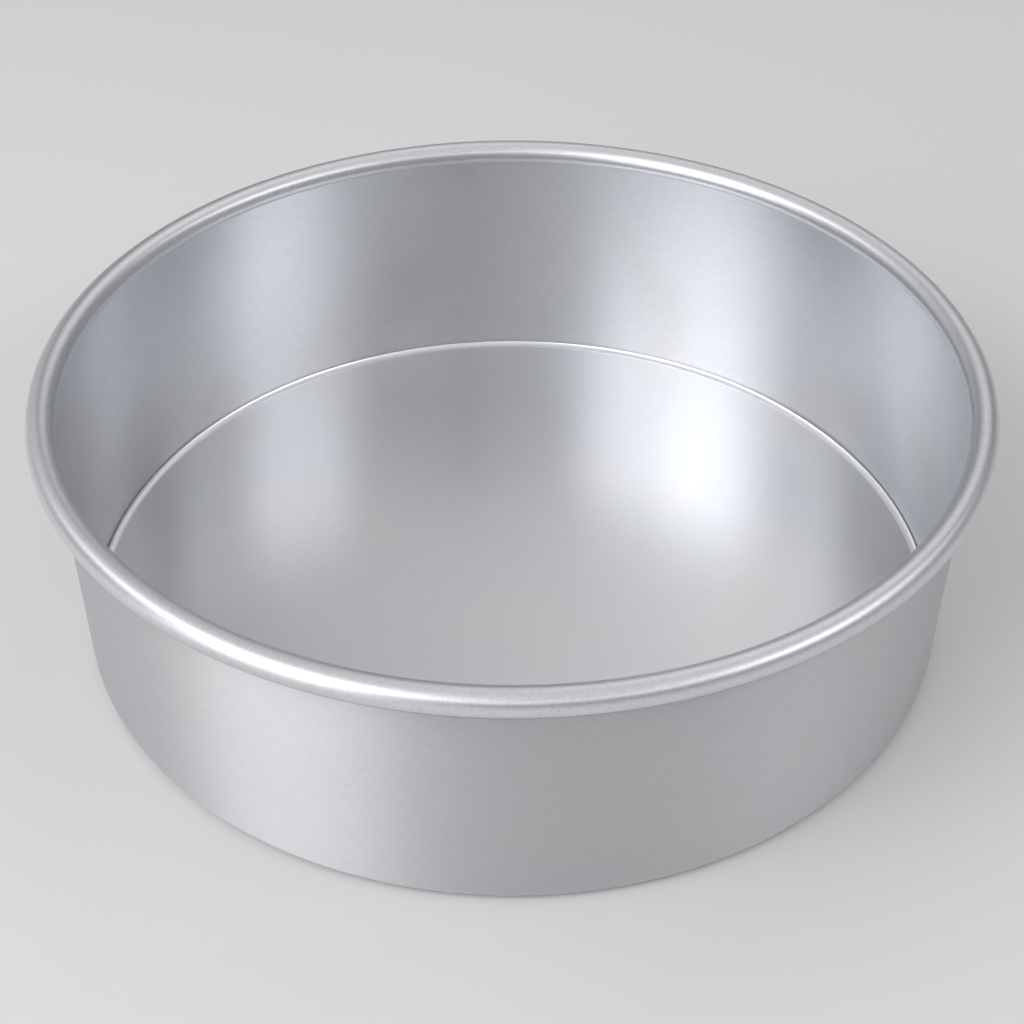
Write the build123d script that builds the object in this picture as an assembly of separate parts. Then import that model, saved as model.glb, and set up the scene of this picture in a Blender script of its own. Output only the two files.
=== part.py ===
from build123d import *
import os
from math import asin, atan2, cos, degrees, radians, sin, sqrt, tan

# A round cake tin with a loose base. Millimetres, +Z up.
# The origin is the centre of the face that the tin stands on.

# Driving sizes of the tin.
# The diameter is taken between the wall's inner faces, level with the middle of the rim.
inside_top_diameter = 254.0
# The depth is from the top of the rim to the top of the loose base.
inside_depth = 76.0
sheet_thickness = 1.2
wall_draft_degrees = 1.19

# Rolled rim: the sheet goes round a wire and ends beside the wall.
wire_diameter = 5.4
wire_clearance = 0.05
bead_overhang = 0.35
hem_gap = 0.2

# Foot: the sheet turns in under the base and ends in a flat ledge.
foot_outer_radius = 3.6
ledge_width = 8.0
ledge_edge_round = 0.3

# Loose base: a disc that lies on the ledge, with its top edge rounded off.
base_thickness = 1.6
base_clearance = 0.15
base_edge_width = 2.6
base_edge_drop = 0.6
base_edge_land = 0.2

# Sizes that follow from these.
draft = radians(wall_draft_degrees)
draft_slope = tan(draft)
overall_height = inside_depth + base_thickness + sheet_thickness
hollow_radius = wire_diameter / 2 + wire_clearance
bead_radius = hollow_radius + sheet_thickness
bead_height = overall_height - bead_radius
bead_ring_radius = inside_top_diameter / 2 - bead_overhang + bead_radius
sheet_across = sheet_thickness / cos(draft)


def wall_inner_radius(height):
    return inside_top_diameter / 2 - (bead_height - height) * draft_slope


def wall_outer_radius(height):
    return wall_inner_radius(height) + sheet_across


foot_inner_radius = foot_outer_radius - sheet_thickness
foot_centre_radius = wall_outer_radius(foot_outer_radius) - foot_outer_radius / cos(draft)
base_top = sheet_thickness + base_thickness


def where_wall_meets_bead(face_radius, circle_radius):
    """The lower point where a face of the wall crosses a circle about the bead's middle.

    face_radius is the radius of that face, level with the bead's middle.
    """
    across = face_radius - bead_ring_radius
    lean = 1 + draft_slope**2
    down = (across * draft_slope + sqrt(circle_radius**2 * lean - across**2)) / lean
    return (face_radius - down * draft_slope, bead_height - down)


def bead_angle(point):
    """The angle of a point about the bead's middle, from 0 to 360 degrees."""
    return degrees(atan2(point[1] - bead_height, point[0] - bead_ring_radius)) % 360


def arc_about_bead(circle_radius, start, end, clockwise):
    """An arc about the bead's middle, from one point to the other the long way round."""
    turn = bead_angle(end) - bead_angle(start)
    if clockwise:
        turn = turn % 360 - 360
    else:
        turn = turn % 360
    centre = (bead_ring_radius, bead_height)
    return CenterArc(centre, circle_radius, bead_angle(start), turn)


def foot_arc(radius, start, end):
    """An arc of the foot curve between two angles in degrees."""
    centre = (foot_centre_radius, foot_outer_radius)
    return CenterArc(centre, radius, start, end - start)


def spin(edges):
    """The solid that a closed section, drawn as radius and height, makes about the axis."""
    section = Plane.XZ * make_face(edges)
    return revolve(section, axis=Axis.Z)


def make_tin_wall():
    """The wall with its foot curve, ledge and rolled rim, all of one sheet."""
    ledge_edge = foot_centre_radius - ledge_width
    wall_face = wall_outer_radius(bead_height)
    inner_crease = where_wall_meets_bead(wall_inner_radius(bead_height), bead_radius)
    curl_start = where_wall_meets_bead(wall_face, hollow_radius)
    curl_end_inside = where_wall_meets_bead(wall_face + hem_gap, hollow_radius)
    curl_end_outside = where_wall_meets_bead(wall_face + hem_gap, bead_radius)

    outer_curve = foot_arc(foot_outer_radius, -90, -wall_draft_degrees)
    inner_curve = foot_arc(foot_inner_radius, -wall_draft_degrees, -90)
    edge_bottom = (ledge_edge + ledge_edge_round, 0)
    edge_top = (ledge_edge + ledge_edge_round, sheet_thickness)
    lower_round = CenterArc((edge_bottom[0], ledge_edge_round), ledge_edge_round, 180, 90)
    upper_round = CenterArc(
        (edge_top[0], sheet_thickness - ledge_edge_round), ledge_edge_round, 90, 90
    )
    return spin(
        [
            lower_round,
            Line(edge_bottom, outer_curve @ 0),
            outer_curve,
            Line(outer_curve @ 1, curl_start),
            arc_about_bead(hollow_radius, curl_start, curl_end_inside, clockwise=True),
            Line(curl_end_inside, curl_end_outside),
            arc_about_bead(bead_radius, curl_end_outside, inner_crease, clockwise=False),
            Line(inner_crease, inner_curve @ 0),
            inner_curve,
            Line(inner_curve @ 1, edge_top),
            upper_round,
            Line(upper_round @ 1, lower_round @ 0),
        ]
    )


def make_rim_wire():
    """The wire that the rim is rolled over."""
    middle = Pos(bead_ring_radius, bead_height)
    section = Plane.XZ * middle * Circle(wire_diameter / 2)
    return revolve(section, axis=Axis.Z)


def make_loose_base():
    """The disc: flat above and below, its edge rounded above and bevelled below."""
    land_top = base_top - base_edge_drop
    land_bottom = land_top - base_edge_land
    land_reach = foot_inner_radius - base_clearance
    land_depth = foot_outer_radius - land_bottom
    rim_radius = foot_centre_radius + sqrt(land_reach**2 - land_depth**2)
    flat_top_radius = rim_radius - base_edge_width
    flat_bottom_radius = foot_centre_radius - base_clearance
    edge_radius = (base_edge_width**2 + base_edge_drop**2) / (2 * base_edge_drop)
    edge_sweep = degrees(asin(base_edge_width / edge_radius))
    edge_centre = (flat_top_radius, base_top - edge_radius)
    edge = CenterArc(edge_centre, edge_radius, 90 - edge_sweep, edge_sweep)
    return spin(
        [
            Line((0, sheet_thickness), (flat_bottom_radius, sheet_thickness)),
            Line((flat_bottom_radius, sheet_thickness), (rim_radius, land_bottom)),
            Line((rim_radius, land_bottom), edge @ 0),
            edge,
            Line(edge @ 1, (0, base_top)),
            Line((0, base_top), (0, sheet_thickness)),
        ]
    )


os.makedirs("parts", exist_ok=True)
export_step(make_tin_wall(), "parts/tin_wall.step")
export_step(make_rim_wire(), "parts/rim_wire.step")
export_step(make_loose_base(), "parts/loose_base.step")
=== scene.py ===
"""A round cake tin with a loose base: its finishes, a plain studio and the camera."""

import math

import bmesh
import bpy
from bpy.props import FloatProperty, FloatVectorProperty, IntProperty, PointerProperty
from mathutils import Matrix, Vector


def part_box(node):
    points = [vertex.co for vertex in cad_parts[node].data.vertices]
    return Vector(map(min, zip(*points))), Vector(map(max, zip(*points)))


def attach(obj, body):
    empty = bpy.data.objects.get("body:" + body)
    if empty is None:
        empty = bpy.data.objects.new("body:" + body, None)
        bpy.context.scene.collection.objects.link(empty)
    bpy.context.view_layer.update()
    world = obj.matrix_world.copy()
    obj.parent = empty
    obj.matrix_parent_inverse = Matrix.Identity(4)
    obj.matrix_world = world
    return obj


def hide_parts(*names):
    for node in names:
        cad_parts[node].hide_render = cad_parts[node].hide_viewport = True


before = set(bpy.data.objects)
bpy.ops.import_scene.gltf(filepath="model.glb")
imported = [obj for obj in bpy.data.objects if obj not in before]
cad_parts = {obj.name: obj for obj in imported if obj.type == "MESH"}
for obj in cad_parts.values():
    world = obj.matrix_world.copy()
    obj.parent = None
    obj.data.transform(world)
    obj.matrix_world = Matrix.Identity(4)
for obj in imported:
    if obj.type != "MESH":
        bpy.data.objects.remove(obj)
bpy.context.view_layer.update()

bl_info = {
    "name": "Round Cake Tin",
    "version": (1, 0, 0),
    "blender": (4, 5, 0),
    "location": "3D View > Sidebar > Cake Tin",
    "description": "Makes a satin aluminium cake tin with a loose base, and a studio to see it in",
    "category": "Object",
}

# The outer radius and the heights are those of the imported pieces.
TIN_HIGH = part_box("tin_wall")[1]
BASE_LOW, BASE_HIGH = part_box("loose_base")

# Steps along the curves of a section.
ROUNDING_STEPS = 4
FOOT_STEPS = 16
CURL_STEPS = 40
RIM_STEPS = 72
HOLLOW_STEPS = 16

# Points nearer than this, in metres, become one.
MERGE_DISTANCE = 1e-6
# Edges flatter than this are shaded smooth.
SHARP_ANGLE = math.radians(20)
# A face's mark is the mean of its corners' marks, and over this all of them are marked.
ALL_MARKED = 0.75

# Roughness of each metal, and how much the turned grain streaks the wall's highlights.
INSIDE_ROUGHNESS, INSIDE_STREAKS = 0.32, 0.6
OUTSIDE_ROUGHNESS, OUTSIDE_STREAKS = 0.5, 0.9
RIM_ROUGHNESS = 0.4
BASE_ROUGHNESS = 0.31
EDGE_ROUGHNESS = 0.3
WIRE_ROUGHNESS = 0.4
# The streaks lie a quarter turn from the direction round the axis.
QUARTER_TURN = 0.25
# Handling makes a metal this much smoother or rougher.
HANDLING = 0.02

# How much each grain varies the metal's tone, and its depth in metres.
TURNED_GRAIN = (0.03, 0.000004)
SHEET_GRAIN = (0.02, 0.000004)
ROLLED_MOTTLE = (0.05, 0.00001)
# The part of the noise that makes the whole range of tones.
GRAIN_RANGE = (0.3, 0.7)
GRAIN_DETAIL = 2.0
NOISE_ROUGHNESS = 0.6
# Spots of the rim's mottle in each metre.
MOTTLE_SCALE = 1200.0
# Length of the sheet's grain lines in metres, and their turn about the axis.
SHEET_LINE_LENGTH = 0.004
SHEET_GRAIN_TURN = math.radians(-8)
# Drawn lines on the wire are this share of the steel's tone.
WIRE_LINE_TONE = 0.9

# The noise at which a patch starts to turn warm, and is wholly warm.
WARM_RANGE = (0.5, 0.7)
PATCH_DETAIL = 1.0
HANDLING_DETAIL = 4.0
# Marks of handling are this many times finer than the patches.
HANDLING_FINENESS = 2.3

# Painted shade darkens the rim's underside between these shares of its radius below its middle.
PAINTED_SHADE_RANGE = (0.25, 0.8)
# The tone of the darkest painted shade, as a share of the metal's colour.
DARKEST_PAINTED_SHADE = 0.35


class CakeTinSizes(bpy.types.PropertyGroup):
    """Sizes of the tin's own section, in metres."""

    outer_radius: FloatProperty(
        name="Outer radius",
        description="From the axis to the outside of the rolled rim",
        default=TIN_HIGH.x,
        unit="LENGTH",
    )
    overall_height: FloatProperty(
        name="Overall height",
        description="From the face that the tin stands on to the top of the rim",
        default=TIN_HIGH.z,
        unit="LENGTH",
    )
    sheet_thickness: FloatProperty(
        name="Sheet thickness",
        description="Thickness of the wall, the ledge and the rolled rim",
        default=BASE_LOW.z,
        unit="LENGTH",
    )
    wall_draft: FloatProperty(
        name="Wall draft",
        description="How far the wall leans outward from upright",
        default=math.radians(1.19),
        subtype="ANGLE",
    )
    bead_radius: FloatProperty(
        name="Rim radius",
        description="Radius of the rolled rim's round section",
        default=0.00395,
        unit="LENGTH",
    )
    bead_overhang: FloatProperty(
        name="Rim overhang",
        description="How far the rolled rim stands in past the wall's inner face",
        default=0.00035,
        unit="LENGTH",
    )
    hem_gap: FloatProperty(
        name="Hem gap",
        description="Slit between the end of the rolled sheet and the wall",
        default=0.0002,
        unit="LENGTH",
    )
    foot_radius: FloatProperty(
        name="Foot radius",
        description="Outer radius of the curve from the wall into the ledge",
        default=0.0036,
        unit="LENGTH",
    )
    ledge_width: FloatProperty(
        name="Ledge width",
        description="Width of the flat ledge that carries the loose base",
        default=0.008,
        unit="LENGTH",
    )
    ledge_edge_round: FloatProperty(
        name="Ledge edge rounding",
        description="Radius on the two edges of the ledge's inner end",
        default=0.0003,
        unit="LENGTH",
    )
    base_top: FloatProperty(
        name="Base top",
        description="Height of the loose base's flat upper face",
        default=BASE_HIGH.z,
        unit="LENGTH",
    )
    base_clearance: FloatProperty(
        name="Base clearance",
        description="Space between the loose base and the foot curve",
        default=0.00015,
        unit="LENGTH",
    )
    base_edge_width: FloatProperty(
        name="Base edge width",
        description="Width of the hollow band where the loose base's edge turns up",
        default=0.002,
        unit="LENGTH",
    )
    base_edge_rise: FloatProperty(
        name="Base edge rise",
        description="How far the edge turns up above the flat upper face",
        default=0.00105,
        unit="LENGTH",
    )
    base_lip_width: FloatProperty(
        name="Base lip width",
        description="Width of the narrow bevel outside the turned-up edge",
        default=0.00012,
        unit="LENGTH",
    )
    base_lip_height: FloatProperty(
        name="Base lip height",
        description="Height of that bevel",
        default=0.00016,
        unit="LENGTH",
    )
    turns: IntProperty(
        name="Steps round the axis",
        description="Number of facets round a turned piece",
        default=480,
        min=24,
    )


class CakeTinFinish(bpy.types.PropertyGroup):
    """Colours and grain of the metals."""

    aluminium: FloatVectorProperty(
        name="Aluminium",
        description="Colour of the satin aluminium",
        default=(0.655, 0.666, 0.691),
        size=3,
        subtype="COLOR",
    )
    warm_aluminium: FloatVectorProperty(
        name="Warm patches",
        description="Colour of the faint warmer patches in the aluminium",
        default=(0.672, 0.674, 0.684),
        size=3,
        subtype="COLOR",
    )
    # A lighter copy of the same aluminium sheet, as painted light on the inner wall and the rolled
    # rim.
    painted_light_aluminium: FloatVectorProperty(
        name="Bright aluminium",
        description="Colour of the smoother aluminium inside the wall and on the rolled rim",
        default=(0.72, 0.73, 0.758),
        size=3,
        subtype="COLOR",
    )
    # A burnished edge, whose bright colour is partly a painted highlight.
    burnish_and_painted_highlight: FloatVectorProperty(
        name="Burnished edge",
        description="Colour of the bright edge of the loose base",
        default=(0.87, 0.88, 0.90),
        size=3,
        subtype="COLOR",
    )
    steel: FloatVectorProperty(
        name="Steel",
        description="Colour of the drawn wire inside the rim",
        default=(0.52, 0.53, 0.54),
        size=3,
        subtype="COLOR",
    )
    grain_lines: FloatProperty(
        name="Grain lines",
        description="Turned grain lines in each metre across the grain",
        default=1500.0,
    )


class CakeTinStudio(bpy.types.PropertyGroup):
    """Floor, light level and camera."""

    floor_colour: FloatVectorProperty(
        name="Floor colour",
        description="Colour of the plain pale floor",
        default=(0.75, 0.75, 0.75),
        size=3,
        subtype="COLOR",
    )
    room_light: FloatProperty(
        name="Room light",
        description="Brightness of the even light from all round, where 1 is white",
        default=0.175,
    )
    far_paleness: FloatProperty(
        name="Far paleness",
        description="How pale the far floor and the horizon look, where 1 is white",
        default=0.6,
    )
    camera_distance: FloatProperty(
        name="Camera distance",
        description="From the camera to the middle of the tin's foot",
        default=0.596,
        unit="LENGTH",
    )
    camera_elevation: FloatProperty(
        name="Camera elevation",
        description="Angle of the camera above the floor, seen from the tin's foot",
        default=math.radians(40.57),
        subtype="ANGLE",
    )


def arc(centre, radius, start, end, steps):
    """Points on an arc between two angles in radians, with both ends."""
    angles = [start + (end - start) * i / steps for i in range(steps + 1)]
    return [(centre[0] + radius * math.cos(a), centre[1] + radius * math.sin(a)) for a in angles]


class Section:
    """The places in the tin's section that its pieces share, as radius and height."""

    def __init__(self, sizes):
        self.sizes = sizes
        self.slope = math.tan(sizes.wall_draft)
        self.bead = (
            sizes.outer_radius - sizes.bead_radius,
            sizes.overall_height - sizes.bead_radius,
        )
        self.hollow_radius = sizes.bead_radius - sizes.sheet_thickness
        # Both faces of the wall, level with the middle of the rolled rim.
        self.inner_face = self.bead[0] - sizes.bead_radius + sizes.bead_overhang
        self.outer_face = self.inner_face + sizes.sheet_thickness / math.cos(sizes.wall_draft)
        foot_level = self.outer_face - (self.bead[1] - sizes.foot_radius) * self.slope
        self.foot = (
            foot_level - sizes.foot_radius / math.cos(sizes.wall_draft),
            sizes.foot_radius,
        )
        self.foot_inner_radius = sizes.foot_radius - sizes.sheet_thickness

    def meets_bead(self, face, circle_radius):
        """The angle about the rim's middle at which a face of the wall crosses a circle."""
        across = face - self.bead[0]
        lean = 1 + self.slope**2
        root = math.sqrt(circle_radius**2 * lean - across**2)
        down = (across * self.slope + root) / lean
        return math.atan2(-down, across - down * self.slope) % math.tau


def wall_outline(section):
    """The closed outline of the wall: ledge, foot curve, drafted wall and rolled rim.

    Each run of points comes with the side of the sheet that it lies on.
    """
    sizes = section.sizes
    edge = section.foot[0] - sizes.ledge_width
    rounding = sizes.ledge_edge_round
    quarter = math.pi / 2
    lean = -sizes.wall_draft
    hem_face = section.outer_face + sizes.hem_gap
    # The hollow is drawn clockwise and the outside of the rim the other way, the long way round.
    curl_start = section.meets_bead(section.outer_face, section.hollow_radius)
    curl_end = section.meets_bead(hem_face, section.hollow_radius) - math.tau
    hem_end = section.meets_bead(hem_face, sizes.bead_radius)
    crease = section.meets_bead(section.inner_face, sizes.bead_radius) + math.tau
    low = (edge + rounding, rounding)
    high = (edge + rounding, sizes.sheet_thickness - rounding)
    return [
        ("outside", arc(low, rounding, math.pi, 3 * quarter, ROUNDING_STEPS)),
        ("outside", arc(section.foot, sizes.foot_radius, -quarter, lean, FOOT_STEPS)),
        ("outside", arc(section.bead, section.hollow_radius, curl_start, curl_end, CURL_STEPS)),
        ("rim", arc(section.bead, sizes.bead_radius, hem_end, crease, RIM_STEPS)),
        ("inside", arc(section.foot, section.foot_inner_radius, lean, -quarter, FOOT_STEPS)),
        ("inside", arc(high, rounding, quarter, math.pi, ROUNDING_STEPS)),
    ]


def base_outline(section):
    """The outline of the loose base, from the axis out along its top and back below.

    Its edge turns up beside the foot curve, and below follows that curve at the clearance.
    """
    sizes = section.sizes
    width, rise = sizes.base_edge_width, sizes.base_edge_rise
    down = -math.pi / 2
    reach = section.foot_inner_radius - sizes.base_clearance
    tip_level = sizes.base_top + rise
    lip_angle = math.asin((tip_level - sizes.base_lip_height - section.foot[1]) / reach)
    under = arc(section.foot, reach, lip_angle, down, FOOT_STEPS)
    flat_top = under[0][0] - sizes.base_lip_width - width
    hollow_radius = (width**2 + rise**2) / (2 * rise)
    hollow = (flat_top, sizes.base_top + hollow_radius)
    sweep = math.asin(width / hollow_radius)
    below = [
        (section.foot[0] - sizes.base_clearance, sizes.sheet_thickness),
        (0, sizes.sheet_thickness),
    ]
    return [
        ("inside", [(0, sizes.base_top)]),
        ("rim", arc(hollow, hollow_radius, down, down + sweep, HOLLOW_STEPS)),
        ("rim", under[:1]),
        ("outside", under[1:] + below),
    ]


def place(tree, kind, x, y, **settings):
    """A node of a tree, with its own settings."""
    node = tree.nodes.new(kind)
    node.location = (x, y)
    for name, value in settings.items():
        setattr(node, name, value)
    return node


def eased(tree, value, limits, results, x, y):
    """A value eased from one result to another between two limits."""
    ease = place(tree, "ShaderNodeMapRange", x, y, interpolation_type="SMOOTHSTEP")
    for socket, given in zip(("From Min", "From Max", "To Min", "To Max"), (*limits, *results)):
        ease.inputs[socket].default_value = given
    tree.links.new(value, ease.inputs["Value"])
    return ease.outputs[0]


def turning_tree():
    """Geometry Nodes that turn a section, drawn as radius and height, about the axis."""
    tree = bpy.data.node_groups.new("turned_about_the_axis", "GeometryNodeTree")
    face = tree.interface
    face.new_socket("Section", in_out="INPUT", socket_type="NodeSocketGeometry")
    face.new_socket("Path Radius", in_out="INPUT", socket_type="NodeSocketFloat")
    face.new_socket("Steps", in_out="INPUT", socket_type="NodeSocketInt")
    face.new_socket("Sharp Angle", in_out="INPUT", socket_type="NodeSocketFloat")
    face.new_socket("Inside Material", in_out="INPUT", socket_type="NodeSocketMaterial")
    face.new_socket("Rim Material", in_out="INPUT", socket_type="NodeSocketMaterial")
    face.new_socket("Outside Material", in_out="INPUT", socket_type="NodeSocketMaterial")
    face.new_socket("Piece", in_out="OUTPUT", socket_type="NodeSocketGeometry")
    link = tree.links.new
    given = place(tree, "NodeGroupInput", -1200, 0)
    made = place(tree, "NodeGroupOutput", 1700, 0)

    # A swept profile lies in its own XY plane: X points away from the axis and Y points down.
    position = place(tree, "GeometryNodeInputPosition", -1200, -300)
    parts = place(tree, "ShaderNodeSeparateXYZ", -1000, -300)
    across = place(tree, "ShaderNodeMath", -800, -250, operation="SUBTRACT")
    down = place(tree, "ShaderNodeMath", -800, -450, operation="MULTIPLY")
    down.inputs[1].default_value = -1
    drawn = place(tree, "ShaderNodeCombineXYZ", -600, -300)
    flat = place(tree, "GeometryNodeSetPosition", -400, 0)
    link(position.outputs[0], parts.inputs[0])
    link(parts.outputs["X"], across.inputs[0])
    link(given.outputs["Path Radius"], across.inputs[1])
    link(parts.outputs["Z"], down.inputs[0])
    link(across.outputs[0], drawn.inputs["X"])
    link(down.outputs[0], drawn.inputs["Y"])
    link(given.outputs["Section"], flat.inputs["Geometry"])
    link(drawn.outputs[0], flat.inputs["Position"])
    profile = place(tree, "GeometryNodeMeshToCurve", -200, 0)
    link(flat.outputs[0], profile.inputs["Mesh"])

    path = place(tree, "GeometryNodeCurvePrimitiveCircle", -200, 250)
    link(given.outputs["Steps"], path.inputs["Resolution"])
    link(given.outputs["Path Radius"], path.inputs["Radius"])
    swept = place(tree, "GeometryNodeCurveToMesh", 0, 0)
    link(path.outputs[0], swept.inputs["Curve"])
    link(profile.outputs[0], swept.inputs["Profile Curve"])
    closed = place(tree, "GeometryNodeMergeByDistance", 200, 0)
    closed.inputs["Distance"].default_value = MERGE_DISTANCE
    link(swept.outputs[0], closed.inputs["Geometry"])

    # Edges flatter than the sharp angle are shaded smooth.
    angle = place(tree, "GeometryNodeInputMeshEdgeAngle", 200, -250)
    soft = place(tree, "FunctionNodeCompare", 400, -250, operation="LESS_THAN")
    smooth_faces = place(tree, "GeometryNodeSetShadeSmooth", 400, 0)
    smooth_edges = place(tree, "GeometryNodeSetShadeSmooth", 600, 0, domain="EDGE")
    link(angle.outputs["Unsigned Angle"], soft.inputs["A"])
    link(given.outputs["Sharp Angle"], soft.inputs["B"])
    link(closed.outputs[0], smooth_faces.inputs["Geometry"])
    link(smooth_faces.outputs[0], smooth_edges.inputs["Geometry"])
    link(soft.outputs[0], smooth_edges.inputs["Shade Smooth"])

    # A face has the finish of the side that all its corners are marked with.
    real = place(tree, "GeometryNodeRealizeInstances", 800, 0)
    painted = place(tree, "GeometryNodeSetMaterial", 1000, 0)
    link(smooth_edges.outputs[0], real.inputs[0])
    link(real.outputs[0], painted.inputs["Geometry"])
    link(given.outputs["Inside Material"], painted.inputs["Material"])
    for column, side in enumerate(("rim", "outside")):
        mark = place(tree, "GeometryNodeInputNamedAttribute", 1000 + 200 * column, -450)
        mark.inputs["Name"].default_value = side
        whole = place(tree, "FunctionNodeCompare", 1000 + 200 * column, -250)
        whole.operation = "GREATER_THAN"
        whole.inputs["B"].default_value = ALL_MARKED
        link(mark.outputs["Attribute"], whole.inputs["A"])
        before = painted
        painted = place(tree, "GeometryNodeSetMaterial", 1200 + 200 * column, 0)
        link(before.outputs[0], painted.inputs["Geometry"])
        link(whole.outputs[0], painted.inputs["Selection"])
        link(given.outputs[side.capitalize() + " Material"], painted.inputs["Material"])
    link(painted.outputs[0], made.inputs["Piece"])
    return tree


def turned_piece(name, outline, closed, values):
    """A mesh piece turned from an outline by the turning tree, as a plain mesh."""
    points = [point for side, run in outline for point in run]
    count = len(points)
    edges = [(i, i + 1) for i in range(count - 1)]
    if closed:
        edges.append((count - 1, 0))
    section = bpy.data.meshes.new(name + "_section")
    section.from_pydata([(r, 0, z) for r, z in points], edges, [])
    for marked in ("rim", "outside"):
        marks = [float(side == marked) for side, run in outline for point in run]
        section.attributes.new(marked, "FLOAT", "POINT").data.foreach_set("value", marks)
    maker = bpy.data.objects.new(name + "_maker", section)
    bpy.context.scene.collection.objects.link(maker)
    tree = bpy.data.node_groups.get("turned_about_the_axis") or turning_tree()
    turning = maker.modifiers.new("turning", "NODES")
    turning.node_group = tree
    for socket in tree.interface.items_tree:
        if socket.item_type == "SOCKET" and socket.name in values:
            turning[socket.identifier] = values[socket.name]
    depsgraph = bpy.context.evaluated_depsgraph_get()
    mesh = bpy.data.meshes.new_from_object(maker.evaluated_get(depsgraph))
    mesh.name = name
    for marked in ("rim", "outside"):
        mesh.attributes.remove(mesh.attributes[marked])
    bpy.data.objects.remove(maker)
    bpy.data.meshes.remove(section)
    if not mesh.polygons:
        raise RuntimeError(f"{name} came out with no faces")
    shell = bmesh.new()
    shell.from_mesh(mesh)
    bmesh.ops.recalc_face_normals(shell, faces=shell.faces)
    shell.to_mesh(mesh)
    shell.free()
    piece = bpy.data.objects.new(name, mesh)
    bpy.context.scene.collection.objects.link(piece)
    return piece


def group_with(name, inputs, outputs):
    """An empty shader group with named sockets, its inputs node and its outputs node."""
    tree = bpy.data.node_groups.new(name, "ShaderNodeTree")
    for socket, kind, value in inputs:
        made = tree.interface.new_socket(socket, in_out="INPUT", socket_type=kind)
        made.default_value = value
    for socket, kind in outputs:
        tree.interface.new_socket(socket, in_out="OUTPUT", socket_type=kind)
    return tree, place(tree, "NodeGroupInput", -900, 0), place(tree, "NodeGroupOutput", 900, 0)


def grain_noise(tree, x, y, **settings):
    """Noise for a grain, on a vector that is already at the grain's own scale."""
    noise = place(tree, "ShaderNodeTexNoise", x, y, **settings)
    noise.inputs["Scale"].default_value = 1.0
    noise.inputs["Detail"].default_value = GRAIN_DETAIL
    noise.inputs["Roughness"].default_value = NOISE_ROUGHNESS
    return noise


def turned_grain_group():
    """Fine lines that run round the axis, on any surface turned about it."""
    tree, given, made = group_with(
        "turned_grain",
        [("Lines", "NodeSocketFloat", 1500.0), ("Breaks Round", "NodeSocketFloat", 45.0)],
        [("Grain", "NodeSocketFloat")],
    )
    link = tree.links.new
    place_on_piece = place(tree, "ShaderNodeTexCoord", -900, -200)
    flat = place(tree, "ShaderNodeVectorMath", -700, -200, operation="MULTIPLY")
    flat.inputs[1].default_value = (1, 1, 0)
    link(place_on_piece.outputs["Object"], flat.inputs[0])
    outward = place(tree, "ShaderNodeVectorMath", -500, -100, operation="NORMALIZE")
    radius = place(tree, "ShaderNodeVectorMath", -500, -300, operation="LENGTH")
    link(flat.outputs[0], outward.inputs[0])
    link(flat.outputs[0], radius.inputs[0])
    round_part = place(tree, "ShaderNodeVectorMath", -300, -100, operation="SCALE")
    link(outward.outputs[0], round_part.inputs[0])
    link(given.outputs["Breaks Round"], round_part.inputs["Scale"])
    height = place(tree, "ShaderNodeSeparateXYZ", -500, -500)
    link(place_on_piece.outputs["Object"], height.inputs[0])
    rise = place(tree, "ShaderNodeMath", -300, -500, operation="MULTIPLY")
    link(height.outputs["Z"], rise.inputs[0])
    link(given.outputs["Lines"], rise.inputs[1])
    rise_part = place(tree, "ShaderNodeCombineXYZ", -100, -500)
    link(rise.outputs[0], rise_part.inputs["Z"])
    total = place(tree, "ShaderNodeVectorMath", 100, -100, operation="ADD")
    link(round_part.outputs[0], total.inputs[0])
    link(rise_part.outputs[0], total.inputs[1])
    reach = place(tree, "ShaderNodeMath", 100, -300, operation="MULTIPLY")
    link(radius.outputs["Value"], reach.inputs[0])
    link(given.outputs["Lines"], reach.inputs[1])
    lines = grain_noise(tree, 300, -100, noise_dimensions="4D")
    link(total.outputs[0], lines.inputs["Vector"])
    link(reach.outputs[0], lines.inputs["W"])
    link(lines.outputs["Fac"], made.inputs["Grain"])
    return tree


def sheet_grain_group():
    """Fine straight lines, as a rolled sheet has them, along one direction."""
    tree, given, made = group_with(
        "sheet_grain",
        [("Lines", "NodeSocketFloat", 1500.0), ("Line Length", "NodeSocketFloat", 0.02)],
        [("Grain", "NodeSocketFloat")],
    )
    link = tree.links.new
    place_on_piece = place(tree, "ShaderNodeTexCoord", -900, -200)
    turn = place(tree, "ShaderNodeMapping", -700, -200)
    turn.inputs["Rotation"].default_value = (0, 0, SHEET_GRAIN_TURN)
    link(place_on_piece.outputs["Object"], turn.inputs["Vector"])
    split = place(tree, "ShaderNodeSeparateXYZ", -500, -200)
    link(turn.outputs[0], split.inputs[0])
    along = place(tree, "ShaderNodeMath", -300, -100, operation="DIVIDE")
    link(split.outputs["X"], along.inputs[0])
    link(given.outputs["Line Length"], along.inputs[1])
    across = place(tree, "ShaderNodeMath", -300, -300, operation="MULTIPLY")
    link(split.outputs["Y"], across.inputs[0])
    link(given.outputs["Lines"], across.inputs[1])
    both = place(tree, "ShaderNodeCombineXYZ", -100, -200)
    link(along.outputs[0], both.inputs["X"])
    link(across.outputs[0], both.inputs["Y"])
    link(split.outputs["Z"], both.inputs["Z"])
    lines = grain_noise(tree, 100, -200)
    link(both.outputs[0], lines.inputs["Vector"])
    link(lines.outputs["Fac"], made.inputs["Grain"])
    return tree


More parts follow.
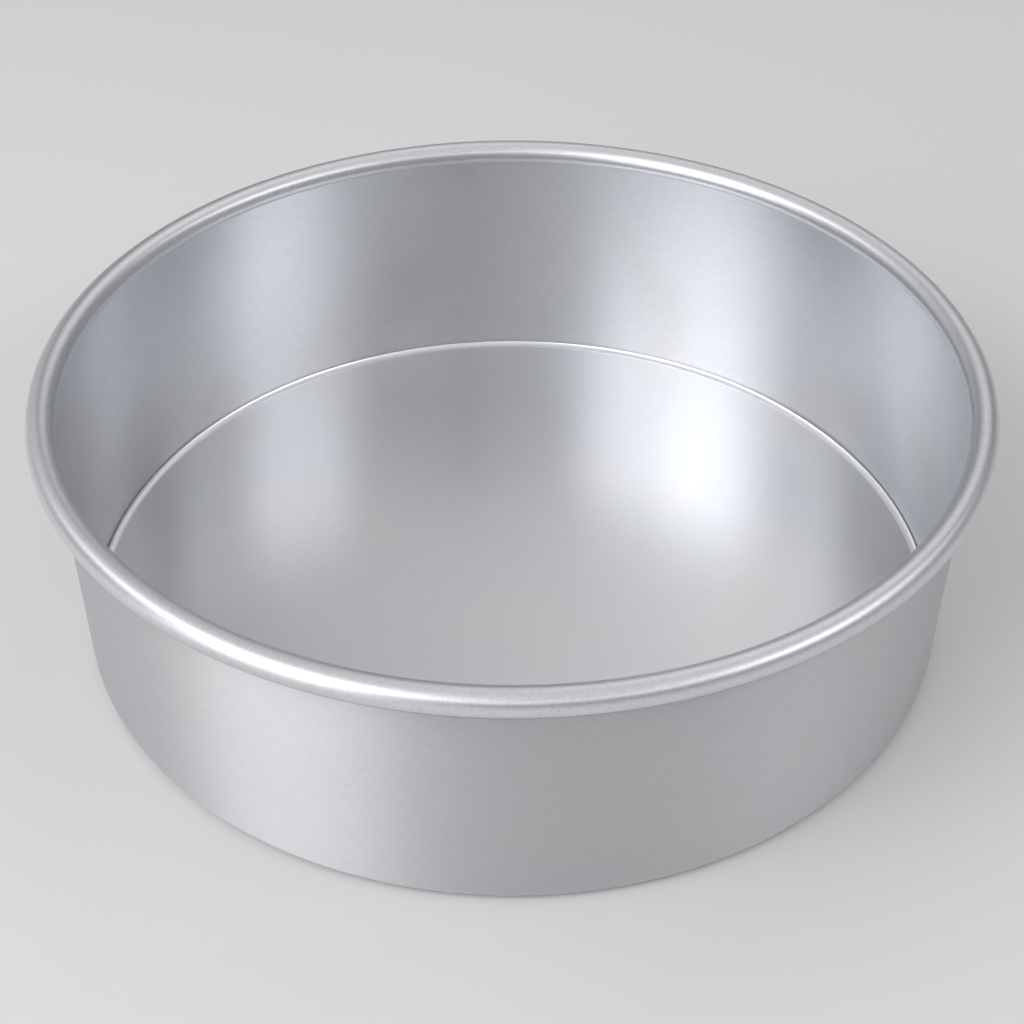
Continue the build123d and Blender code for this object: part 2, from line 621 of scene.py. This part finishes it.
def soft_patches_group():
    """Broad soft patches of slightly warmer metal, and of handling, over the surface."""
    tree, given, made = group_with(
        "soft_patches",
        [
            ("Cool", "NodeSocketColor", (0.6, 0.61, 0.65, 1)),
            ("Warm", "NodeSocketColor", (0.61, 0.61, 0.61, 1)),
            ("Patch Size", "NodeSocketFloat", 0.05),
        ],
        [("Color", "NodeSocketColor"), ("Handling", "NodeSocketFloat")],
    )
    link = tree.links.new
    place_on_piece = place(tree, "ShaderNodeTexCoord", -900, -200)
    scale = place(tree, "ShaderNodeMath", -700, -400, operation="DIVIDE")
    scale.inputs[0].default_value = 1.0
    link(given.outputs["Patch Size"], scale.inputs[1])
    tint = place(tree, "ShaderNodeTexNoise", -400, -100)
    tint.inputs["Detail"].default_value = PATCH_DETAIL
    link(place_on_piece.outputs["Object"], tint.inputs["Vector"])
    link(scale.outputs[0], tint.inputs["Scale"])
    share = place(tree, "ShaderNodeMapRange", -200, -100)
    share.inputs["From Min"].default_value = WARM_RANGE[0]
    share.inputs["From Max"].default_value = WARM_RANGE[1]
    link(tint.outputs["Fac"], share.inputs["Value"])
    blend = place(tree, "ShaderNodeMix", 100, 0, data_type="RGBA")
    link(share.outputs[0], blend.inputs["Factor"])
    link(given.outputs["Cool"], blend.inputs["A"])
    link(given.outputs["Warm"], blend.inputs["B"])
    link(blend.outputs["Result"], made.inputs["Color"])
    touch = place(tree, "ShaderNodeTexNoise", -400, -400)
    touch.inputs["Detail"].default_value = HANDLING_DETAIL
    touch.inputs["Roughness"].default_value = NOISE_ROUGHNESS
    finer = place(tree, "ShaderNodeMath", -550, -500, operation="MULTIPLY")
    finer.inputs[1].default_value = HANDLING_FINENESS
    link(scale.outputs[0], finer.inputs[0])
    link(place_on_piece.outputs["Object"], touch.inputs["Vector"])
    link(finer.outputs[0], touch.inputs["Scale"])
    link(touch.outputs["Fac"], made.inputs["Handling"])
    return tree


def new_metal(name, roughness, anisotropic=0.0, rotation=0.0):
    """A material with one metal shader, its fixed values set on the shader itself."""
    material = bpy.data.materials.new(name)
    material.use_nodes = True
    tree = material.node_tree
    shader = tree.nodes["Principled BSDF"]
    shader.inputs["Metallic"].default_value = 1.0
    shader.inputs["Roughness"].default_value = roughness
    shader.inputs["Anisotropic"].default_value = anisotropic
    shader.inputs["Anisotropic Rotation"].default_value = rotation
    return material, tree, shader


def placed_group(tree, name, maker, x, y):
    """A group node of a shared effect, built the first time that it is asked for."""
    node = place(tree, "ShaderNodeGroup", x, y)
    node.node_tree = bpy.data.node_groups.get(name) or maker()
    return node


def finished(tree, shader, grain, colours, roughness, cut):
    """Lets the grain and the soft patches vary colour, roughness and surface.

    The colours are the cool and the warm one, and the cut is the grain's spread and depth.
    """
    link = tree.links.new
    spread, depth = cut
    patches = placed_group(tree, "soft_patches", soft_patches_group, -900, 200)
    patches.inputs["Cool"].default_value = (*colours[0], 1)
    patches.inputs["Warm"].default_value = (*colours[1], 1)
    shade = place(tree, "ShaderNodeMapRange", -700, 0)
    shade.inputs["From Min"].default_value = GRAIN_RANGE[0]
    shade.inputs["From Max"].default_value = GRAIN_RANGE[1]
    shade.inputs["To Min"].default_value = 1 - spread
    shade.inputs["To Max"].default_value = 1 + spread
    link(grain, shade.inputs["Value"])
    tone = place(tree, "ShaderNodeVectorMath", -450, 200, operation="SCALE")
    link(patches.outputs["Color"], tone.inputs[0])
    link(shade.outputs[0], tone.inputs["Scale"])
    link(tone.outputs[0], shader.inputs["Base Color"])
    gloss = place(tree, "ShaderNodeMapRange", -450, -100)
    gloss.inputs["To Min"].default_value = roughness - HANDLING
    gloss.inputs["To Max"].default_value = roughness + HANDLING
    link(patches.outputs["Handling"], gloss.inputs["Value"])
    link(gloss.outputs[0], shader.inputs["Roughness"])
    bump = place(tree, "ShaderNodeBump", -450, -400)
    bump.inputs["Strength"].default_value = 1.0
    bump.inputs["Distance"].default_value = depth
    link(grain, bump.inputs["Height"])
    link(bump.outputs["Normal"], shader.inputs["Normal"])


def turned_metal(name, finish, colours, roughness, streaks):
    """Satin aluminium with fine grain turned round the wall."""
    material, tree, shader = new_metal(name, roughness, streaks, QUARTER_TURN)
    round_axis = place(tree, "ShaderNodeTangent", -300, -600, direction_type="RADIAL", axis="Z")
    tree.links.new(round_axis.outputs[0], shader.inputs["Tangent"])
    grain = placed_group(tree, "turned_grain", turned_grain_group, -1000, -200)
    grain.inputs["Lines"].default_value = finish.grain_lines
    finished(tree, shader, grain.outputs["Grain"], colours, roughness, TURNED_GRAIN)
    return material


def painted_shade_below(tree, shader, high, low, darkest):
    """Paints shade on a metal, darkening it from one height down to another, where the crease
    under the rim lies in shade.
    """
    unshaded_colour = shader.inputs["Base Color"].links[0].from_socket
    place_on_piece = place(tree, "ShaderNodeTexCoord", -900, 500)
    parts = place(tree, "ShaderNodeSeparateXYZ", -700, 500)
    tree.links.new(place_on_piece.outputs["Object"], parts.inputs[0])
    share = eased(tree, parts.outputs["Z"], (low, high), (darkest, 1), -500, 500)
    shaded_colour = place(tree, "ShaderNodeVectorMath", -200, 400, operation="SCALE")
    tree.links.new(unshaded_colour, shaded_colour.inputs[0])
    tree.links.new(share, shaded_colour.inputs["Scale"])
    tree.links.new(shaded_colour.outputs[0], shader.inputs["Base Color"])


def rim_metal(finish, bead_height, bead_radius):
    """The rolled rim: a mottled satin grain from the rolling, and painted shade on its underside.
    """
    material, tree, shader = new_metal("rim_aluminium_rolled", RIM_ROUGHNESS)
    place_on_piece = place(tree, "ShaderNodeTexCoord", -1200, -200)
    mottle = place(tree, "ShaderNodeTexNoise", -1000, -200)
    mottle.inputs["Scale"].default_value = MOTTLE_SCALE
    mottle.inputs["Detail"].default_value = GRAIN_DETAIL
    tree.links.new(place_on_piece.outputs["Object"], mottle.inputs["Vector"])
    # The rim takes the lighter copy of the aluminium, as painted light.
    colours = (finish.painted_light_aluminium, finish.painted_light_aluminium)
    finished(tree, shader, mottle.outputs["Fac"], colours, RIM_ROUGHNESS, ROLLED_MOTTLE)
    # Painted shade darkens the lower half of the rim.
    high, low = (bead_height - share * bead_radius for share in PAINTED_SHADE_RANGE)
    painted_shade_below(tree, shader, high, low, DARKEST_PAINTED_SHADE)
    return material


def base_metal(finish):
    """Satin aluminium sheet with the straight grain that rolling leaves."""
    material, tree, shader = new_metal("base_aluminium_sheet", BASE_ROUGHNESS)
    grain = placed_group(tree, "sheet_grain", sheet_grain_group, -1000, -200)
    grain.inputs["Lines"].default_value = finish.grain_lines
    grain.inputs["Line Length"].default_value = SHEET_LINE_LENGTH
    colours = (finish.aluminium, finish.warm_aluminium)
    finished(tree, shader, grain.outputs["Grain"], colours, BASE_ROUGHNESS, SHEET_GRAIN)
    return material


def edge_metal(finish):
    """The turned-up edge of the loose base, burnished, its brighter colour partly a painted
    highlight, with grain round the edge.
    """
    material, tree, shader = new_metal("base_edge_burnished", EDGE_ROUGHNESS)
    grain = placed_group(tree, "turned_grain", turned_grain_group, -1000, -200)
    grain.inputs["Lines"].default_value = finish.grain_lines
    colours = (finish.burnish_and_painted_highlight, finish.burnish_and_painted_highlight)
    finished(tree, shader, grain.outputs["Grain"], colours, EDGE_ROUGHNESS, TURNED_GRAIN)
    return material


def wire_metal(finish):
    """Drawn steel wire, with fine lines along its length."""
    material, tree, shader = new_metal("rim_wire_steel_drawn", WIRE_ROUGHNESS)
    grain = placed_group(tree, "turned_grain", turned_grain_group, -1000, -200)
    grain.inputs["Lines"].default_value = finish.grain_lines
    shade = place(tree, "ShaderNodeMix", -400, 100, data_type="RGBA")
    shade.inputs["A"].default_value = (*[WIRE_LINE_TONE * c for c in finish.steel], 1)
    shade.inputs["B"].default_value = (*finish.steel, 1)
    tree.links.new(grain.outputs["Grain"], shade.inputs["Factor"])
    tree.links.new(shade.outputs["Result"], shader.inputs["Base Color"])
    return material


class CAKETIN_OT_wall(bpy.types.Operator):
    """Make the drafted wall with its ledge and rolled rim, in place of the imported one"""

    bl_idname = "cake_tin.wall"
    bl_label = "Tin Wall"

    def execute(self, context):
        sizes = context.scene.cake_tin_sizes
        finish = context.scene.cake_tin_finish
        section = Section(sizes)
        # The inner wall takes the lighter copy of the aluminium, as painted light, and the outside
        # the plain one.
        inside = turned_metal(
            "wall_aluminium_inside",
            finish,
            (finish.painted_light_aluminium, finish.warm_aluminium),
            INSIDE_ROUGHNESS,
            INSIDE_STREAKS,
        )
        rim = rim_metal(finish, section.bead[1], sizes.bead_radius)
        outside = turned_metal(
            "wall_aluminium_outside",
            finish,
            (finish.aluminium, finish.warm_aluminium),
            OUTSIDE_ROUGHNESS,
            OUTSIDE_STREAKS,
        )
        values = {
            "Path Radius": section.bead[0],
            "Steps": sizes.turns,
            "Sharp Angle": SHARP_ANGLE,
            "Inside Material": inside,
            "Rim Material": rim,
            "Outside Material": outside,
        }
        piece = turned_piece("tin_wall_sheet", wall_outline(section), True, values)
        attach(piece, "tin")
        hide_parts("tin_wall")
        return {"FINISHED"}


class CAKETIN_OT_wire(bpy.types.Operator):
    """Give the wire inside the rolled rim its drawn steel finish"""

    bl_idname = "cake_tin.wire"
    bl_label = "Rim Wire"

    def execute(self, context):
        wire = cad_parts["rim_wire"]
        wire.material_slots[0].material = wire_metal(context.scene.cake_tin_finish)
        return {"FINISHED"}


class CAKETIN_OT_base(bpy.types.Operator):
    """Make the loose base with its turned-up edge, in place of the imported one"""

    bl_idname = "cake_tin.base"
    bl_label = "Loose Base"

    def execute(self, context):
        sizes = context.scene.cake_tin_sizes
        outline = base_outline(Section(sizes))
        finish = context.scene.cake_tin_finish
        metal = base_metal(finish)
        values = {
            "Path Radius": max(radius for side, run in outline for radius, height in run),
            "Steps": sizes.turns,
            "Sharp Angle": SHARP_ANGLE,
            "Inside Material": metal,
            "Rim Material": edge_metal(finish),
            "Outside Material": metal,
        }
        piece = turned_piece("loose_base_disc", outline, False, values)
        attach(piece, "base")
        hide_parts("loose_base")
        return {"FINISHED"}


# The floor reaches this far to each side, in metres.
FLOOR_REACH = 10.0
# The far floor turns pale between these distances from the tin, in metres.
FLOOR_FADE = (0.9, 2.4)
# The horizon's paleness fades between these heights of a ray's direction, where 1 is straight up.
HORIZON_FADE = (0.0, 0.2)

# The photograph's framing, on an image this many pixels wide: focal length and shift in pixels.
IMAGE_WIDTH = 1024
FOCAL_LENGTH = 1949
SHIFT = (-0.65, 68)
SENSOR_WIDTH = 36

# Each lamp's azimuth, clockwise from behind the tin as seen from above, and elevation in
# degrees, its width and height in metres, and its brightness.
LAMP_DISTANCE = 1.5
LAMPS = {
    "strip_right": (80, 39, 0.7, 0.37, 1.42),
    "strip_right_front": (112, 39, 0.7, 0.37, 3.56),
    "strip_front_right": (148, 38, 0.7, 0.35, 1.4),
    "strip_front": (184, 38, 0.7, 0.35, 1.54),
    "strip_front_left": (216, 39, 0.7, 0.37, 0.93),
    "strip_left_front": (246, 39, 0.7, 0.37, 2.58),
    "strip_left": (276, 39, 0.7, 0.37, 1.97),
    "left_bank": (229, 29, 1.13, 1.6, 1.86),
    "left_back_bank": (306, 33, 1.2, 1.2, 0.37),
    "back_bank": (0, 44, 0.6, 0.9, 0.52),
    "back_right_bank": (28, 44, 0.7, 0.9, 0.65),
    "overhead_bank": (0, 90, 2.0, 2.0, 0.51),
}


def add_lamp(name, azimuth, elevation, width, height, brightness):
    """A soft rectangular lamp that faces the tin; brightness 1 is that of white paper."""
    lamp = bpy.data.lights.new(name, "AREA")
    lamp.shape = "RECTANGLE"
    lamp.size = width
    lamp.size_y = height
    lamp.energy = math.pi * width * height * brightness
    holder = bpy.data.objects.new(name, lamp)
    bpy.context.scene.collection.objects.link(holder)
    turn, rise = math.radians(azimuth), math.radians(elevation)
    middle = Vector((0, 0, TIN_HIGH.z / 2))
    away = Vector(
        (math.cos(rise) * math.sin(turn), math.cos(rise) * math.cos(turn), math.sin(rise))
    )
    holder.location = middle + LAMP_DISTANCE * away
    holder.rotation_euler = (-away).to_track_quat("-Z", "Y").to_euler()
    holder.visible_camera = False


def seen_rays(tree, x, y):
    """1 for rays from the camera, or by way of metal or glass, and 0 for light on a surface."""
    path = place(tree, "ShaderNodeLightPath", x, y)
    mirrored = place(tree, "ShaderNodeMath", x + 200, y, operation="ADD")
    tree.links.new(path.outputs["Is Camera Ray"], mirrored.inputs[0])
    tree.links.new(path.outputs["Is Glossy Ray"], mirrored.inputs[1])
    seen = place(tree, "ShaderNodeMath", x + 400, y, operation="ADD", use_clamp=True)
    tree.links.new(mirrored.outputs[0], seen.inputs[0])
    tree.links.new(path.outputs["Is Transmission Ray"], seen.inputs[1])
    return seen.outputs[0]


def floor_paint(studio):
    """Plain pale paint, kept pale to the eye where the lamps no longer reach."""
    material = bpy.data.materials.new("studio_floor")
    material.use_nodes = True
    tree = material.node_tree
    shader = tree.nodes["Principled BSDF"]
    shader.inputs["Base Color"].default_value = (*studio.floor_colour, 1)
    shader.inputs["Roughness"].default_value = 1.0
    shader.inputs["Specular IOR Level"].default_value = 0.0
    shader.inputs["Emission Strength"].default_value = 1.0
    place_on_floor = place(tree, "ShaderNodeTexCoord", -1200, -300)
    away = place(tree, "ShaderNodeVectorMath", -1000, -300, operation="LENGTH")
    tree.links.new(place_on_floor.outputs["Object"], away.inputs[0])
    added = studio.far_paleness - studio.room_light * studio.floor_colour[0]
    glow = eased(tree, away.outputs["Value"], FLOOR_FADE, (0, added), -800, -300)
    shown = place(tree, "ShaderNodeMath", -400, -300, operation="MULTIPLY")
    tree.links.new(glow, shown.inputs[0])
    tree.links.new(seen_rays(tree, -1200, -600), shown.inputs[1])
    tree.links.new(shown.outputs[0], shader.inputs["Emission Color"])
    return material


def room(studio):
    """Even dim light from all round, with a horizon that looks as pale as the far floor."""
    world = bpy.data.worlds.new("studio_room")
    world.use_nodes = True
    tree = world.node_tree
    background = tree.nodes["Background"]
    background.inputs["Color"].default_value = (1, 1, 1, 1)
    direction = place(tree, "ShaderNodeTexCoord", -1200, 0)
    parts = place(tree, "ShaderNodeSeparateXYZ", -1000, 0)
    tree.links.new(direction.outputs["Generated"], parts.inputs[0])
    added = studio.far_paleness - studio.room_light
    glow = eased(tree, parts.outputs["Z"], HORIZON_FADE, (added, 0), -800, 0)
    shown = place(tree, "ShaderNodeMath", -400, 0, operation="MULTIPLY")
    tree.links.new(glow, shown.inputs[0])
    tree.links.new(seen_rays(tree, -1200, -300), shown.inputs[1])
    total = place(tree, "ShaderNodeMath", -200, 0, operation="ADD")
    total.inputs[1].default_value = studio.room_light
    tree.links.new(shown.outputs[0], total.inputs[0])
    tree.links.new(total.outputs[0], background.inputs["Strength"])
    return world


class CAKETIN_OT_studio(bpy.types.Operator):
    """Make the pale floor, the soft lamps, the room light and the camera"""

    bl_idname = "cake_tin.studio"
    bl_label = "Studio"

    def execute(self, context):
        studio = context.scene.cake_tin_studio
        scene = context.scene
        reach = FLOOR_REACH
        sheet = bpy.data.meshes.new("studio_floor")
        corners = [(-reach, -reach, 0), (reach, -reach, 0), (reach, reach, 0), (-reach, reach, 0)]
        sheet.from_pydata(corners, [], [(0, 1, 2, 3)])
        sheet.materials.append(floor_paint(studio))
        floor = bpy.data.objects.new("studio_floor", sheet)
        scene.collection.objects.link(floor)
        for name, values in LAMPS.items():
            add_lamp(name, *values)
        scene.world = room(studio)

        lens = bpy.data.cameras.new("camera")
        lens.sensor_width = SENSOR_WIDTH
        lens.lens = SENSOR_WIDTH * FOCAL_LENGTH / IMAGE_WIDTH
        lens.shift_x = SHIFT[0] / IMAGE_WIDTH
        lens.shift_y = SHIFT[1] / IMAGE_WIDTH
        camera = bpy.data.objects.new("camera", lens)
        scene.collection.objects.link(camera)
        rise = studio.camera_elevation
        camera.location = (
            0,
            -studio.camera_distance * math.cos(rise),
            studio.camera_distance * math.sin(rise),
        )
        camera.rotation_euler = (math.pi / 2 - rise, 0, 0)
        scene.camera = camera
        scene.view_settings.view_transform = "Standard"
        return {"FINISHED"}


class CAKETIN_PT_panel(bpy.types.Panel):
    """The tin's sizes, finishes and studio, with a button for each piece"""

    bl_idname = "CAKETIN_PT_panel"
    bl_label = "Cake Tin"
    bl_space_type = "VIEW_3D"
    bl_region_type = "UI"
    bl_category = "Cake Tin"

    def draw(self, context):
        for group in ("cake_tin_sizes", "cake_tin_finish", "cake_tin_studio"):
            values = getattr(context.scene, group)
            box = self.layout.box()
            for name in values.bl_rna.properties.keys():
                if name not in {"rna_type", "name"}:
                    box.prop(values, name)
        for maker in OPERATORS:
            self.layout.operator(maker.bl_idname)


OPERATORS = (CAKETIN_OT_wall, CAKETIN_OT_wire, CAKETIN_OT_base, CAKETIN_OT_studio)
GROUPS = {
    "cake_tin_sizes": CakeTinSizes,
    "cake_tin_finish": CakeTinFinish,
    "cake_tin_studio": CakeTinStudio,
}


def register():
    for name, group in GROUPS.items():
        bpy.utils.register_class(group)
        setattr(bpy.types.Scene, name, PointerProperty(type=group))
    for cls in (*OPERATORS, CAKETIN_PT_panel):
        bpy.utils.register_class(cls)


def unregister():
    for cls in (CAKETIN_PT_panel, *reversed(OPERATORS)):
        bpy.utils.unregister_class(cls)
    for name, group in GROUPS.items():
        delattr(bpy.types.Scene, name)
        bpy.utils.unregister_class(group)


def main():
    register()
    bpy.ops.cake_tin.wall()
    bpy.ops.cake_tin.wire()
    bpy.ops.cake_tin.base()
    bpy.ops.cake_tin.studio()


if __name__ == "__main__":
    main()
